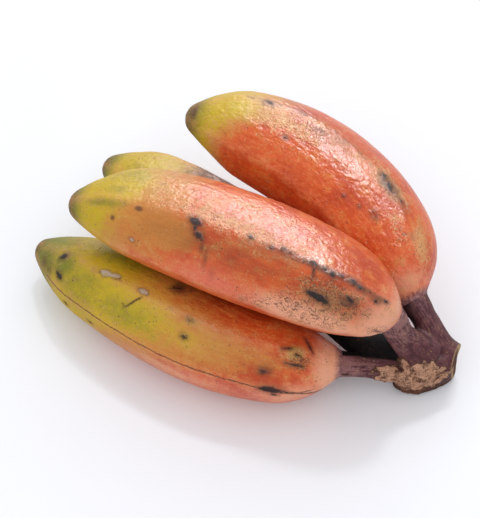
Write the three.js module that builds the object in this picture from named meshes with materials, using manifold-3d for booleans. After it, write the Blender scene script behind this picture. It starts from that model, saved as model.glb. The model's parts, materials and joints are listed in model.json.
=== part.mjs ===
// A hand of four red bananas, grown together on one cut crown, lying on its side.
// Millimetres, +Z up. +X runs along the hand from the fruit tips to the crown, and the origin is on
// the ground under the middle of the hand. Three things touch the ground: the bellies of the front
// and back fruits, and the underside of the crown.
import * as THREE from "three";
import { mergeVertices } from "three/addons/utils/BufferGeometryUtils.js";
import Module from "manifold-3d";

const UP = new THREE.Vector3(0, 0, 1);

// Fruit: its radius is a share of its girth radius, at shares of its length from tip to neck.
const FRUIT_PROFILE = [
  [0.0, 0.0],
  [0.2, 0.012],
  [0.36, 0.042],
  [0.58, 0.1],
  [0.82, 0.19],
  [0.95, 0.32],
  [1.01, 0.5],
  [0.99, 0.67],
  [0.88, 0.83],
  [0.68, 0.92],
  [0.42, 0.975],
  [0.28, 1.0],
];
const FRUIT_STEPS = 30;
const FRUIT_SIDES = 32;

// A fruit's section swells at its soft lengthways ridges and is slack between them.
const RIDGE_RISE = 0.045;
const RIDGE_WIDTH = 17;
const SLACK = 0.014;

// Stalk: the same, as a share of the stalk's own radius, from the neck to the crown.
const STALK_PROFILE = [
  [1.0, 0.0],
  [0.86, 0.3],
  [0.86, 0.55],
  [1.1, 1.0],
];
const STALK_STEPS = 9;
const STALK_SIDES = 15;
const NECK_GAP = 0.3;

// Crown: a slanting block where the stalks meet, cut off flat at its far end.
const CROWN_OUTLINE = [
  [68, -10.5],
  [74, -10.5],
  [79.5, -7.5],
  [83.5, -2],
  [86.8, 3.2],
  [87.2, 7.7],
  [81.5, 9.8],
  [76, 9.5],
  [70, 4.5],
];
const CROWN_HEIGHT = 22;
const CROWN_EDGE = 2.5;

// Each finger: the centre line from the fruit's tip to the inside of the crown, how much of it is
// fruit, the girth radius, the angles of its ridges in degrees from straight up, turning towards -Y,
// and the stalk's radius at the neck.
const FINGERS = {
  banana_front: {
    line: [
      [-89, -32, 15],
      [-51, -35.8, 18.6],
      [-9, -38, 19.7],
      [26, -32.7, 19.6],
      [49.5, -20.5, 18.5],
      [64, -11.5, 14.5],
      [75, -5.5, 13],
    ],
    fruitLength: 142,
    girth: 19.6,
    ridges: [13, 68, 150, 215, 290],
    stalkRadius: 5.4,
  },
  banana_top: {
    line: [
      [-74, -25, 48],
      [-41, -18.5, 54],
      [-3, -15.2, 57],
      [37, -12.2, 56.5],
      [54, -10, 52],
      [62.5, -6.5, 43.5],
      [68.4, -5, 32],
      [77, 0.5, 20],
    ],
    fruitLength: 142,
    girth: 21,
    ridges: [20, 89, 165, 235, 305],
    stalkRadius: 6.4,
  },
  banana_right: {
    line: [
      [-52, 30, 60],
      [-26, 35.5, 58.5],
      [7, 37.5, 53],
      [39, 29, 45],
      [63.3, 12.9, 33.8],
      [71.8, 8.8, 28.8],
      [79, 5.3, 19],
    ],
    fruitLength: 127,
    girth: 20.8,
    ridges: [62, 130, 205, 275, 348],
    stalkRadius: 6,
  },
  banana_back: {
    line: [
      [-87.5, 18.5, 17.5],
      [-56, 15, 19.5],
      [-21, 10.5, 19.6],
      [11, 4, 19.6],
      [37, -4.5, 18.5],
      [54, -9.2, 15.2],
      [71, -1.5, 18],
    ],
    fruitLength: 128,
    girth: 19.4,
    ridges: [30, 105, 160, 245, 320],
    stalkRadius: 5.4,
  },
};

const PEEL = { color: 0xcf6a3f, roughness: 0.45, metalness: 0 };
const STALK_BARK = { color: 0x5b3a3c, roughness: 0.7, metalness: 0 };

const wasm = await Module();
wasm.setup();

function centreLine(points) {
  return new THREE.CatmullRomCurve3(points.map((xyz) => new THREE.Vector3(...xyz)));
}

// A closed spindle on +Y whose height runs from 0 to 1 and whose radius follows a profile.
function spindle(profile, radius, steps, sides) {
  const knots = profile.map(([share, height]) => new THREE.Vector2(share * radius, height));
  const outline = new THREE.SplineCurve(knots).getPoints(steps);
  outline[0].y = 0;
  if (outline[0].x > 0) outline.unshift(new THREE.Vector2(0, 0));
  outline[outline.length - 1].y = 1;
  outline.push(new THREE.Vector2(0, 1));
  return new THREE.LatheGeometry(outline, sides);
}

// How wide the section is at an angle, against its plain radius.
function swellAt(degrees, ridges) {
  const rises = ridges.map((ridge) => {
    const away = THREE.MathUtils.euclideanModulo(degrees - ridge + 180, 360) - 180;
    return Math.exp(-((away / RIDGE_WIDTH) ** 2));
  });
  return 1 - SLACK + RIDGE_RISE * Math.max(0, ...rises);
}

// Lays a spindle along a stretch of a centre line, given in millimetres from the line's start.
function layAlong(shape, line, [start, end], ridges) {
  const place = shape.attributes.position;
  const whole = line.getLength();
  for (let i = 0; i < place.count; i++) {
    const share = (start + place.getY(i) * (end - start)) / whole;
    const around = Math.atan2(place.getX(i), place.getZ(i));
    const swell = ridges ? swellAt(THREE.MathUtils.radToDeg(around), ridges) : 1;
    const radius = Math.hypot(place.getX(i), place.getZ(i)) * swell;
    const along = line.getTangentAt(share);
    const side = new THREE.Vector3().crossVectors(along, UP).normalize();
    const over = new THREE.Vector3().crossVectors(side, along);
    const point = line
      .getPointAt(share)
      .addScaledVector(over, radius * Math.cos(around))
      .addScaledVector(side, radius * Math.sin(around));
    place.setXYZ(i, point.x, point.y, point.z);
  }
  return shape;
}

function solidOf(geometry) {
  geometry.deleteAttribute("normal");
  geometry.deleteAttribute("uv");
  const merged = mergeVertices(geometry, 1e-3);
  const mesh = new wasm.Mesh({
    numProp: 3,
    vertProperties: merged.attributes.position.array,
    triVerts: merged.index.array,
  });
  return new wasm.Manifold(mesh);
}

function geometryOf(solid) {
  const mesh = solid.getMesh();
  return new THREE.BufferGeometry()
    .setAttribute("position", new THREE.BufferAttribute(mesh.vertProperties, 3))
    .setIndex(new THREE.BufferAttribute(mesh.triVerts, 1));
}

function fruit({ line, fruitLength, girth, ridges }) {
  const shape = spindle(FRUIT_PROFILE, girth, FRUIT_STEPS, FRUIT_SIDES);
  return layAlong(shape, centreLine(line), [0, fruitLength], ridges);
}

// The stalk starts a hair's gap past the fruit's neck and ends inside the crown.
function stalk({ line, fruitLength, stalkRadius }) {
  const path = centreLine(line);
  const shape = spindle(STALK_PROFILE, stalkRadius, STALK_STEPS, STALK_SIDES);
  return layAlong(shape, path, [fruitLength + NECK_GAP, path.getLength()]);
}

function crown() {
  const outline = new THREE.Shape(CROWN_OUTLINE.map(([x, y]) => new THREE.Vector2(x, y)));
  const block = new THREE.ExtrudeGeometry(outline, {
    depth: CROWN_HEIGHT - 2 * CROWN_EDGE,
    bevelThickness: CROWN_EDGE,
    bevelSize: CROWN_EDGE,
    bevelOffset: -CROWN_EDGE / 2,
    bevelSegments: 2,
  });
  return block.translate(0, 0, CROWN_EDGE);
}

function stem() {
  const stalks = Object.values(FINGERS).map((finger) => solidOf(stalk(finger)));
  return geometryOf(stalks.reduce((whole, one) => whole.add(one), solidOf(crown())));
}

function piece(name, geometry, finish) {
  const mesh = new THREE.Mesh(geometry, new THREE.MeshStandardMaterial(finish));
  mesh.name = name;
  return mesh;
}

const hand = new THREE.Group();
hand.add(piece("stem", stem(), STALK_BARK));
for (const [name, finger] of Object.entries(FINGERS)) {
  hand.add(piece(name, fruit(finger), PEEL));
}

export default hand;
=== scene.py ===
"""A hand of four short red bananas on its cut crown, lying on a pale glossy table."""

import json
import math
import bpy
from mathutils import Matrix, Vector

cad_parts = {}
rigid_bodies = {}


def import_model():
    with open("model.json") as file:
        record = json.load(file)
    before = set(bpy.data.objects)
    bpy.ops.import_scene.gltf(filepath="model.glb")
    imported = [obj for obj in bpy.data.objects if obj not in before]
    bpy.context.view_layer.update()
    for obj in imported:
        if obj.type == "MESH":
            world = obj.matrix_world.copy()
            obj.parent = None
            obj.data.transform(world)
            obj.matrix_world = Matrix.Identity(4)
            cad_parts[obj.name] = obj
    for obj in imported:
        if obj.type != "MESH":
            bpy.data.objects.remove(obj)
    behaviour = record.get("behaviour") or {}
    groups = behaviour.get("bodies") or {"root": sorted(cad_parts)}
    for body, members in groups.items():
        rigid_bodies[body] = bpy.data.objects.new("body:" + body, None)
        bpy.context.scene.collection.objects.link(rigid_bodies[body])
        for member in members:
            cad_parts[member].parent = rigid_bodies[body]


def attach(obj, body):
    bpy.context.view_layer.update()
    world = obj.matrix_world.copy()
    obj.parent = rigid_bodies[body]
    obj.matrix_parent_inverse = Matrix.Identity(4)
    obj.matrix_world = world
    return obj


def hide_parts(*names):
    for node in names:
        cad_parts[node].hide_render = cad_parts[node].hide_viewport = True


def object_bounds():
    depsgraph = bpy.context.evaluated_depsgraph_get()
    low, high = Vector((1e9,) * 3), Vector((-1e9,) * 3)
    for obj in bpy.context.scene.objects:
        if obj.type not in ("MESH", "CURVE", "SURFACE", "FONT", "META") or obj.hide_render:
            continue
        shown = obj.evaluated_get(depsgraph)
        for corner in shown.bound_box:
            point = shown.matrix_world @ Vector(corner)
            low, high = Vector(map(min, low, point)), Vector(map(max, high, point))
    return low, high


bl_info = {
    "name": "Red Banana Hand",
    "version": (1, 0, 0),
    "blender": (4, 5, 0),
    "location": "3D View > Sidebar > Banana Hand",
    "description": "Makes a hand of four red bananas, its crown and stalks, and a table for it",
    "category": "Add Mesh",
}

import bmesh
import bpy
import numpy as np
from bpy.props import FloatProperty, FloatVectorProperty, IntProperty, PointerProperty
from mathutils import Vector, noise

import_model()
CAD_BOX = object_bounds()
GROUND = CAD_BOX[0].z

MM = 0.001
UP = Vector((0, 0, 1))

# Each light's width and height, and its place from the middle of the hand: to the viewer's
# right, away from the viewer, and up. All are in metres.
LIGHTS = {
    "window": ((1.0, 1.0), (0.25, 0.95, 1.0)),
    "lamp": ((0.11, 0.11), (0.095, 0.66, 1.3)),
    "fill": ((1.4, 1.4), (-0.2, -1.0, 0.95)),
    "sheen": ((0.45, 1.3), (0.12, 0.95, 0.8)),
    "overhead": ((0.42, 0.22), (0.2, 0.28, 1.13)),
}
# Where the camera looks, from the middle of the hand.
CAMERA_AIM = Vector((-8.265, -1.035, -14.25)) * MM
# The width of the camera's sensor, in millimetres.
SENSOR_WIDTH = 36

# A fruit's radius, as a share of its girth radius, at shares of its length from tip to neck.
FRUIT_PROFILE = [
    (0.0, 0.0),
    (0.2, 0.012),
    (0.36, 0.042),
    (0.58, 0.1),
    (0.82, 0.19),
    (0.95, 0.32),
    (1.01, 0.5),
    (0.99, 0.67),
    (0.88, 0.83),
    (0.68, 0.92),
    (0.42, 0.975),
    (0.28, 1.0),
]
# A stalk's radius, as a share of its own, from the neck to the crown.
STALK_PROFILE = [(1.0, 0.0), (0.88, 0.28), (0.9, 0.5), (1.25, 1.0)]

# The outline of the crown from above, and its height.
CROWN_OUTLINE = [
    (0.068, -0.0105),
    (0.074, -0.0105),
    (0.0805, -0.0085),
    (0.0845, -0.0028),
    (0.0890, 0.0030),
    (0.0893, 0.0090),
    (0.0820, 0.0110),
    (0.0760, 0.0105),
    (0.069, 0.0050),
]
CROWN_HEIGHT = 0.022
CROWN_EDGE = 0.0025
# The way that the front stalk's side with painted shade faces, and the right stalk's side with
# painted shade.
FRONT_SHADE_FACING = Vector((-0.41, 0.71, 0.57))
RIGHT_SHADE_FACING = Vector((-0.85, -0.45, 0.25))
# Where the painted shade on the stalks fades out, towards +X.
SHADE_END = (0.068, 0.076)
# Where the knife went through: a point on the cut and the way that it faces. Its face turns pale
# between these places towards +Y.
CUT_POINT = Vector((0.0882, 0.0060, 0.012))
CUT_FACING = Vector((0.97, 0.14, 0.06)).normalized()
CUT_PALE = (0.0082, 0.0092)
# Painted shade at the foot of the crown, near the table: where it starts, towards +X, and the
# heights where it fades out.
FOOT_SHADE_START = (0.064, 0.068)
FOOT_SHADE_HEIGHTS = (0.002, 0.008)
# The torn place on the side of the crown: its middle, the way that it faces, and its half sizes
# along the side, outwards and upwards.
TORN_MIDDLE = Vector((0.0765, -0.0100, 0.0125))
TORN_FACING = Vector((0.60, -0.80, 0.0))
TORN_REACH = Vector((0.0160, 0.0075, 0.0115))

# Each finger. Its centre line runs from the tip to the inside of the crown, in metres, and so are
# the fruit's length and the radii of its girth and its stalk.
# Angles are degrees round the fruit from straight up, turning towards -Y.
# ridges: the angle of each ridge, and how far it has turned by the neck.
# yellow: how many millimetres the yellow reaches from the tip, at angles round the fruit.
# blots, scabs: strokes of (along, around, along, around, width), in millimetres from the tip,
# degrees, and millimetres.
# smudges, russet, green, blush, warm, burnt, pale, crackle: patches of (along, around, half
# length, half width, strength), in the same units. Green is left in the yellow, warm is more
# yellow-brown, burnt is browner and in some patches painted shade, smudges are bruises and on the
# back fruit painted shade, pale is the colour of the neck, and crackle has curly cracks.
# dirty_ridges: (number of the ridge, start, end, strength of its line, strength of its grime).
FINGERS = {
    "banana_front": {
        "line": [
            (-0.0890, -0.0320, 0.0150),
            (-0.0510, -0.0358, 0.0186),
            (-0.0090, -0.0380, 0.0197),
            (0.0260, -0.0327, 0.0196),
            (0.0495, -0.0205, 0.0185),
            (0.0640, -0.0115, 0.0145),
            (0.0750, -0.0055, 0.0130),
        ],
        "length": 0.142,
        "girth": 0.0196,
        "stalk": 0.0054,
        "ridges": [(13, 0), (68, 17), (150, 0), (215, 0), (290, 0)],
        "yellow": [(-180, 40), (-60, 62), (0, 66), (35, 92), (62, 70), (85, 50), (130, 36)],
        "blots": [
            (20.2, 24, 23, 18, 2.3), (22, 47, 25, 50, 2.7), (29, 86, 30, 87, 1.6),
            (43, 88, 44, 88, 1.6), (57.5, 38, 62, 17, 0.6), (56, 35, 57.5, 38, 0.5),
            (82.5, 37, 84, 37, 1.7), (113.5, 48, 115, 48.5, 1.8), (114, 71, 120, 73, 3.0),
            (119, 72, 124, 78, 1.0), (127.5, -9, 130.5, 9, 1.1), (122, 75, 140, 102, 0.7),
            (117.5, 80, 119, 82, 1.3), (124, 20, 126, 22, 0.9), (70, -12, 73, -16, 1.6),
            (119, 15, 123, 13, 1.1), (121, 33, 127, 36, 1.4),
        ],
        "scabs": [(41, 15, 46, 13, 3.2), (45, 13, 49, 10, 2.4), (59.5, 12, 63, 12, 2.6)],
        "smudges": [
            (12, 45, 5, 5, 0.6), (17, 52, 4, 4, 0.5), (72, -16, 5, 5, 0.75),
            (76, -23, 3, 4, 0.55), (70, -8, 4, 2.5, 0.5), (83, 17, 4, 2, 0.5),
            (97, 18, 6, 2, 0.35), (114, 48, 5, 5, 0.5), (128, 10, 10, 6, 0.3),
            (95, 30, 12, 6, 0.2),
        ],
        "russet": [
            (124, 20, 8, 4, 0.8), (124, 34, 6, 3, 0.7), (60, 12, 10, 2.5, 0.5),
            (95, 12, 35, 2, 0.35),
        ],
        "green": [
            (124, 17, 5, 4, 1.0), (84, 17, 6, 2.5, 0.5), (24, 28, 8, 7, 0.9),
            (8, 20, 14, 30, 1.0), (45, -20, 20, 8, 0.6), (58, 45, 24, 7, 0.5),
            (35, 42, 18, 12, 0.55),
        ],
        "blush": [(95, 84, 30, 6, 0.5), (135, 40, 10, 14, 0.4), (118, 92, 22, 7, 0.6)],
        "warm": [(90, 52, 26, 8, 0.5), (70, 22, 20, 5, 0.5), (62, 92, 30, 10, 0.6)],
        "burnt": [
            (85, 48, 30, 9, 0.5), (60, -5, 40, 6, 0.5), (110, 60, 20, 8, 0.35),
            (92, 22, 30, 8, 0.5), (40, 24, 24, 9, 0.35),
        ],
        "pale": [(137, 45, 7, 18, 0.9), (125, 88, 16, 8, 0.6), (80, 92, 30, 6, 0.5)],
        "crackle": [(126, 34, 5, 4, 0.8)],
        "dirty_ridges": [(1, 15, 132, 1.0, 0.25), (0, 30, 112, 0.1, 0.4)],
    },
    "banana_top": {
        "line": [
            (-0.0740, -0.0250, 0.0480),
            (-0.0410, -0.0185, 0.0540),
            (-0.0030, -0.0152, 0.0570),
            (0.0370, -0.0122, 0.0565),
            (0.0540, -0.0100, 0.0520),
            (0.0625, -0.0065, 0.0435),
            (0.0684, -0.0050, 0.0320),
            (0.0770, 0.0005, 0.0200),
        ],
        "length": 0.142,
        "girth": 0.021,
        "stalk": 0.0064,
        "ridges": [(20, 0), (89, 0), (165, 0), (235, 0), (305, 0)],
        "yellow": [(-180, 30), (-90, 36), (0, 44), (17, 42), (26, 30), (70, 26), (120, 20)],
        "blots": [
            (60, 22, 64, 24, 3.3), (62, 25, 63, 34, 1.5), (63, 33, 66, 37, 2.0),
            (109.8, 49.5, 116, 52, 3.0), (83, 18, 84.4, 18.5, 1.6), (92, 21, 92.8, 21, 1.1),
            (95.5, 16.5, 97.5, 17, 1.2), (98.6, 17.5, 99.4, 18, 1.0),
            (106.6, 18, 108.5, 18.5, 1.7), (110.5, 19, 111.5, 20, 1.2),
            (113.2, 21, 114.8, 21.5, 1.9), (116.5, 18.5, 118, 18, 1.5),
            (120.3, 16, 122, 18, 2.1), (122.6, 17, 123.6, 21, 1.5), (128, 26, 129, 26.5, 1.4),
            (130.4, 19, 131.2, 20, 1.2), (108, 20, 109.3, 33, 0.8), (121.5, 36, 123.5, 40, 1.0),
            (133, 75, 136, 79, 0.8),
        ],
        "scabs": [(36, 66, 38, 67, 1.8)],
        "smudges": [
            (118, 48, 17, 10, 0.5), (67, 44, 1.4, 5, 0.6), (69.5, 57, 1.5, 6, 0.55),
            (73, 71, 2.4, 5, 0.4), (108, 20, 8, 2.2, 0.5), (120, 18, 7, 2.6, 0.5),
            (101, 62, 6, 4, 0.3), (122, 43, 5, 3.5, 0.8), (111, 40, 9, 6, 0.4),
            (118, 60, 12, 6, 0.35), (127, 22, 5, 4, 0.35), (27, 46, 1.4, 1.4, 0.9),
            (38, 28, 2.2, 1.2, 0.9), (90, 26, 30, 2.5, 0.35),
        ],
        "russet": [
            (112, 76, 14, 8, 0.3), (116, 50, 16, 9, 0.7), (75, 14, 36, 5, 0.7),
            (72, 30, 24, 5, 0.12), (64, -10, 42, 11, 0.36), (42, -1, 9, 6, 0.5),
        ],
        "green": [
            (2, 20, 8, 40, 0.8), (22, 27, 13, 2.2, 0.65), (26, 7, 6, 3, 0.4),
            (30, -30, 14, 8, 0.4),
        ],
        "blush": [(72, 80, 16, 7, 1.0), (95, 88, 40, 5, 0.6), (135, 50, 8, 16, 0.6)],
        "warm": [(48, 42, 18, 10, 1.0), (40, 70, 20, 10, 0.6), (60, 5, 25, 5, 0.4)],
        "burnt": [
            (78, 42, 32, 7, 1.0), (118, 46, 17, 10, 0.35), (92, 33, 16, 6, 0.9),
            (84, 4, 34, 9, 0.7),
        ],
        "pale": [(112, 82, 24, 8, 1.0), (134, 60, 9, 16, 0.9), (126, 30, 10, 5, 0.4)],
        "crackle": [
            (112, 74, 15, 7, 1.0), (134, 76, 5, 4, 0.8), (92, 84, 10, 4, 0.6),
            (117, 46, 13, 9, 0.9),
        ],
        "dirty_ridges": [
            (0, 44, 84, 0.3, 0.3), (0, 88, 132, 0.3, 0.9), (1, 80, 130, 0.25, 0.5),
        ],
    },
    "banana_right": {
        "line": [
            (-0.0520, 0.0300, 0.0600),
            (-0.0260, 0.0355, 0.0585),
            (0.0070, 0.0375, 0.0530),
            (0.0390, 0.0290, 0.0450),
            (0.0633, 0.0129, 0.0338),
            (0.0718, 0.0088, 0.0288),
            (0.0795, 0.0062, 0.0205),
            (0.0870, 0.0064, 0.0130),
        ],
        "length": 0.127,
        "girth": 0.0208,
        "stalk": 0.006,
        "ridges": [(62, 0), (130, 0), (205, 0), (275, 0), (348, 0)],
        "yellow": [(-180, 24), (-90, 26), (-50, 32), (10, 31), (30, 20), (70, 14), (130, 16)],
        "blots": [
            (31.5, -13, 33.5, -11, 1.5), (82.4, -17, 83.8, -16, 1.9),
            (86.6, -13, 88.8, -11.5, 2.3), (43.8, 23, 44.4, 23, 1.2), (79, 34, 79.6, 34.5, 1.1),
            (86.3, 29, 86.9, 29, 1.0), (93.4, -15, 94.4, -15, 1.3),
        ],
        "scabs": [],
        "smudges": [
            (4.5, 18, 1.6, 4, 0.9), (32, -12, 5, 3.5, 0.7), (26, -14, 4, 2.5, 0.5),
            (87, -14, 7, 4.5, 0.8), (44, 23, 3, 2, 0.45), (45, -17, 7, 3, 0.5),
            (54, -5, 6, 3, 0.6), (62, -8, 5, 2.5, 0.5), (95, -15, 4, 3, 0.5),
            (92.5, 21, 4, 3, 0.55), (80, 30, 5, 3, 0.25),
        ],
        "russet": [
            (42, 6, 18, 7, 0.7), (86, -16, 12, 6, 0.9), (110, -24, 10, 6, 0.8),
            (62, -6, 14, 4, 0.6), (100, 2, 12, 6, 0.5),
        ],
        "green": [(3, 10, 7, 30, 0.6), (53, -11, 9, 4, 0.7), (110, -25, 8, 6, 0.35)],
        "blush": [(60, -40, 30, 8, 0.5), (118, 10, 8, 14, 0.5)],
        "warm": [(86, -14, 22, 5, 0.4), (108, -22, 12, 6, 0.45), (50, 6, 24, 5, 0.4)],
        "burnt": [(90, -14, 14, 4, 0.5), (40, 60, 40, 10, 0.2), (62, -4, 30, 8, 0.7)],
        "pale": [(121, 20, 6, 12, 0.6)],
        "crackle": [(104, 0, 7, 5, 0.5)],
        "dirty_ridges": [(4, 25, 110, 0.1, 0.6)],
    },
    "banana_back": {
        "line": [
            (-0.0875, 0.0185, 0.0175),
            (-0.0560, 0.0150, 0.0195),
            (-0.0210, 0.0105, 0.0196),
            (0.0110, 0.0040, 0.0196),
            (0.0370, -0.0045, 0.0185),
            (0.0535, -0.0085, 0.0172),
            (0.0620, -0.0048, 0.0195),
            (0.0710, -0.0012, 0.0180),
        ],
        "length": 0.128,
        "girth": 0.0194,
        "stalk": 0.0054,
        "ridges": [(30, 0), (105, 0), (160, 0), (245, 0), (320, 0)],
        "yellow": [(-180, 30), (-60, 40), (0, 44), (60, 40), (120, 28)],
        "blots": [(22, -64, 25, -62, 1.8), (70, -80, 74, -78, 2.2)],
        "scabs": [(70, -70, 73, -68, 2.4)],
        # On this fruit, the smudges and burnt patches are painted shade, where it lies between the
        # top and right fruits.
        "smudges": [
            (49, -30, 9, 6, 0.65), (47, -20, 9, 4, 0.5), (58, -34, 8, 5, 0.5),
            (90, -60, 12, 7, 0.5),
        ],
        "russet": [(66, -20, 16, 6, 0.6), (100, -50, 14, 8, 0.8)],
        "green": [(3, 0, 8, 40, 0.8), (24, 20, 10, 6, 0.4)],
        "blush": [(80, 60, 30, 10, 0.4)],
        "warm": [(70, 30, 30, 12, 0.6)],
        "burnt": [(54, -30, 16, 9, 1.0), (80, -40, 30, 8, 0.5)],
        "pale": [(120, 0, 10, 20, 0.7)],
        "crackle": [(80, -60, 14, 8, 0.8)],
        "dirty_ridges": [(4, 40, 110, 0.5, 0.8), (2, 20, 112, 0.9, 0.3)],
    },
}
# Each finger's number, in the order above.
NUMBERS = {name: number for number, name in enumerate(FINGERS)}
# How far a stalk reaches inside its fruit.
STALK_OVERLAP = 5 * MM
# How far the grain of one stalk is shifted from the last one's, so that no two are alike.
GRAIN_SHIFT = 0.1


def colour(red, green, blue):
    """A colour from its everyday 0 to 255 parts, as linear light."""
    parts = [part / 255 for part in (red, green, blue)]
    return tuple(p / 12.92 if p <= 0.04045 else ((p + 0.055) / 1.055) ** 2.4 for p in parts)


def colour_property(name, description, default):
    return FloatVectorProperty(
        name=name, description=description, default=default, subtype="COLOR", size=3, min=0, max=1
    )


def length_property(name, description, default):
    return FloatProperty(name=name, description=description, default=default, unit="LENGTH")


def share_property(name, description, default):
    return FloatProperty(name=name, description=description, default=default, subtype="FACTOR")


def power_property(name, description, default):
    return FloatProperty(name=name, description=description, default=default, unit="POWER")


def angle_property(name, description, degrees):
    return FloatProperty(
        name=name, description=description, default=math.radians(degrees), subtype="ANGLE"
    )


# --------------------------------------------------------------------------- settings


class PeelSettings(bpy.types.PropertyGroup):
    """Sizes and colours of the fruits."""

    rings: IntProperty(
        name="Rings", description="Rings of faces along a fruit", default=340, min=24
    )
    sides: IntProperty(name="Sides", description="Faces round a fruit", default=210, min=12)
    ridge_rise: share_property(
        "Ridge Rise", "How far a ridge stands out, as a share of the radius", 0.062
    )
    lumps: length_property("Lumps", "Depth of the broad uneven swellings", 0.0003)
    wrinkles: length_property("Wrinkles", "Depth of the fine wrinkles", 0.00006)
    ripples: length_property("Ripples", "Depth of the ripples in the wax", 0.00066)
    roughness: share_property("Roughness", "Roughness of clean, waxy peel", 0.27)
    flesh_red: colour_property("Orange Red", "The body of the peel", colour(222, 96, 40))
    deep_red: colour_property("Deep Red", "The darker, redder peel", colour(190, 68, 26))
    orange: colour_property("Orange", "Warmer, yellower patches of the peel", colour(224, 132, 58))
    salmon: colour_property("Salmon", "Paler patches of the peel", colour(238, 158, 112))
    blush: colour_property("Blush", "Pink patches low on the peel", colour(226, 116, 92))
    pale_end: colour_property("Pale End", "The peach peel round the neck", colour(240, 175, 141))
    yellow: colour_property("Yellow", "The ripening yellow at the tip", colour(196, 166, 18))
    ochre: colour_property("Ochre", "Between the yellow and the body", colour(198, 136, 60))
    olive: colour_property("Olive", "The green left in the yellow", colour(120, 120, 22))
    russet: colour_property("Russet", "Tan, corky specks", colour(208, 154, 98))
    bruise: colour_property("Bruise", "Soft brown smudges", colour(88, 50, 34))
    blot: colour_property("Blot", "Blue-black blots", colour(20, 17, 24))
    scab: colour_property("Scab", "Dry grey scabs", colour(192, 176, 158))


class StalkSettings(bpy.types.PropertyGroup):
    """Sizes and colours of the crown and stalks."""

    grid: length_property("Grid", "Size of the mesh's faces", 0.00055)
    fibres: length_property("Fibres", "Depth of the lengthways fibres", 0.00007)
    tears: length_property("Tears", "Depth of the torn place", 0.0016)
    grooves: length_property("Grooves", "Depth of the finest grooves in the bark", 0.0003)
    roughness: share_property("Roughness", "Roughness of the smoothest bark", 0.46)
    bark: colour_property("Bark", "Purple-brown skin of the stalks", colour(112, 65, 69))
    dark_bark: colour_property("Dark Bark", "Its darker streaks", colour(66, 34, 40))
    pale_bark: colour_property("Pale Bark", "Its rubbed, paler streaks", colour(162, 117, 113))
    lichen: colour_property("Yellow Flecks", "Yellowish flecks on the stalks", colour(158, 136, 72))
    # Near-black painted shade for the shaded stalks and the crown's foot, also the dark border
    # round the torn place.
    shade_and_border: colour_property("Stain", "Dried sap between the stalks", colour(14, 11, 13))
    torn_wood: colour_property("Torn Wood", "Dry torn fibres", colour(190, 142, 114))
    torn_pale: colour_property("Torn Pale", "The palest of them", colour(224, 186, 158))
    torn_dark: colour_property("Torn Dark", "Hollows of the torn place", colour(84, 54, 42))
    cut_wood: colour_property("Cut Wood", "The knife cut", colour(84, 46, 32))
    cut_rim: colour_property("Cut Rim", "The pale rim of the cut", colour(206, 176, 124))


class StageSettings(bpy.types.PropertyGroup):
    """The table, the lights and the camera."""

    table: colour_property("Table", "Colour of the table", (0.885, 0.90, 0.935))
    table_size: length_property("Table Size", "Half the width of the table", 4.0)
    table_roughness: share_property("Table Roughness", "How dull the table's gloss is", 0.1)
    room: FloatProperty(
        name="Room Light", description="Strength of the light all round", default=0.69
    )
    ceiling: FloatProperty(
        name="Ceiling Light", description="How much brighter the room is overhead", default=0.38
    )
    window: power_property("Window Light", "Strength of the broad window", 2.0)
    fill: power_property("Fill Light", "Strength of the soft light from the viewer's side", 2.0)
    lamp: power_property("Lamp", "Strength of the small lamp that draws the shadow", 2.6)
    sheen: power_property("Sheen", "Strength of the tall panel that only shows as gloss", 48.0)
    overhead: power_property(
        "Overhead Sheen", "Strength of the panel above that only shows as gloss", 40.0
    )
    azimuth: angle_property("Azimuth", "Where the viewer stands, turning from -Y towards +X", 30)
    elevation: angle_property("Elevation", "How steeply the viewer looks down", 55.5)
    distance: length_property("Distance", "From the viewer to the hand", 0.65)
    lens: FloatProperty(name="Lens", description="Focal length in millimetres", default=109.3)


# --------------------------------------------------------------------------- shaping


class CentreLine:
    """A smooth line through points, measured along its length."""

    # Steps from one point to the next.
    STEPS = 60

    def __init__(self, points):
        knots = [Vector(p) for p in points]
        knots = [2 * knots[0] - knots[1]] + knots + [2 * knots[-1] - knots[-2]]
        places = []
        for i in range(1, len(knots) - 2):
            for step in range(self.STEPS):
                places.append(self.between(knots[i - 1 : i + 3], step / self.STEPS))
        places.append(knots[-2])
        self.points = np.array(places)
        steps = np.linalg.norm(np.diff(self.points, axis=0), axis=1)
        self.distances = np.concatenate([[0], np.cumsum(steps)])
        self.length = self.distances[-1]
        self.directions = np.gradient(self.points, self.distances, axis=0)

    @staticmethod
    def between(knots, share):
        """A point between the middle two of four knots, on a centripetal curve."""
        a, b, c, d = knots
        before, here, after = ((q - p).length ** 0.5 for p, q in ((a, b), (b, c), (c, d)))
        start = ((b - a) / before - (c - a) / (before + here) + (c - b) / here) * here
        end = ((c - b) / here - (d - b) / (here + after) + (d - c) / after) * here
        bend = 3 * (c - b) - 2 * start - end
        turn = 2 * (b - c) + start + end
        return b + start * share + bend * share**2 + turn * share**3

    def at(self, distance):
        """Points on the line, and the three directions there: along it, upwards and sideways."""
        beyond = distance - np.clip(distance, 0, self.length)
        point = self.on(self.points, distance)
        along = self.on(self.directions, distance)
        along /= np.linalg.norm(along, axis=1)[:, None]
        side = np.cross(along, np.array(UP))
        side /= np.linalg.norm(side, axis=1)[:, None]
        return point + along * beyond[:, None], along, np.cross(side, along), side

    def on(self, values, distance):
        columns = [np.interp(distance, self.distances, column) for column in values.T]
        return np.stack(columns, axis=1)


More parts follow.
